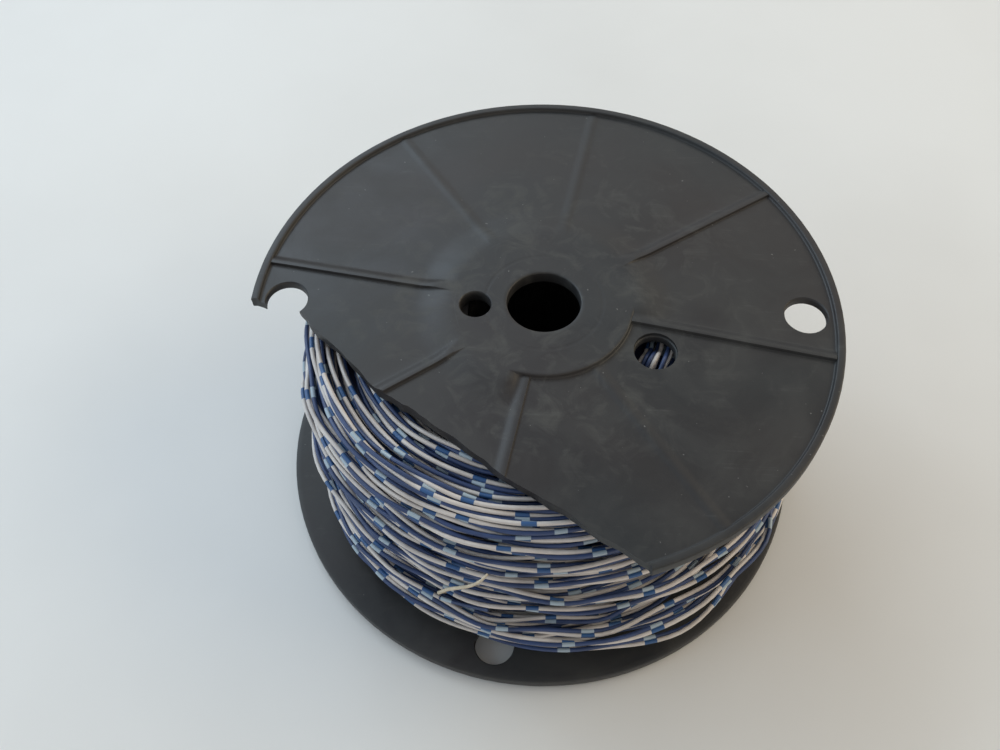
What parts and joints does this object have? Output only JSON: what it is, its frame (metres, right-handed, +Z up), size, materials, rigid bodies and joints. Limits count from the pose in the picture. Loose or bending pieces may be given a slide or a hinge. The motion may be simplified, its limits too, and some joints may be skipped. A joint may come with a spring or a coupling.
{
  "type": "wire spool",
  "caption": "Black moulded wire spool with a cracked upper flange, wound with a loose twisted pair of white and blue banded bell wire.",
  "frame": {"origin": "middle of the lower flange's hub face, which the spool stands on", "axes": "+Z up the spool's axis, -Y towards the side where the upper flange is cracked most, +X towards the upper flange's whole rim hole"},
  "size_m": [0.1334, 0.1334, 0.066],
  "materials": {
    "flange_plastic": "satin moulded, scuffed",
    "drum_plastic": "satin moulded",
    "pair_insulation": "satin, white and blue conductors with bands",
    "white_insulation": "satin, with blue bands",
    "blue_insulation": "satin, with white bands"
  },
  "bodies": {
    "root": {"upper_flange": "flange_plastic", "lower_flange": "flange_plastic", "drum": "drum_plastic", "winding_inner": "pair_insulation", "winding_outer": "pair_insulation", "loose_turn_1": "pair_insulation", "loose_turn_2": "pair_insulation", "loose_turn_3": "pair_insulation", "loose_turn_4": "pair_insulation", "loose_turn_5": "pair_insulation", "loose_turn_6": "pair_insulation", "white_wire_end": "white_insulation", "blue_wire_end": "blue_insulation"}
  },
  "joints": []
}
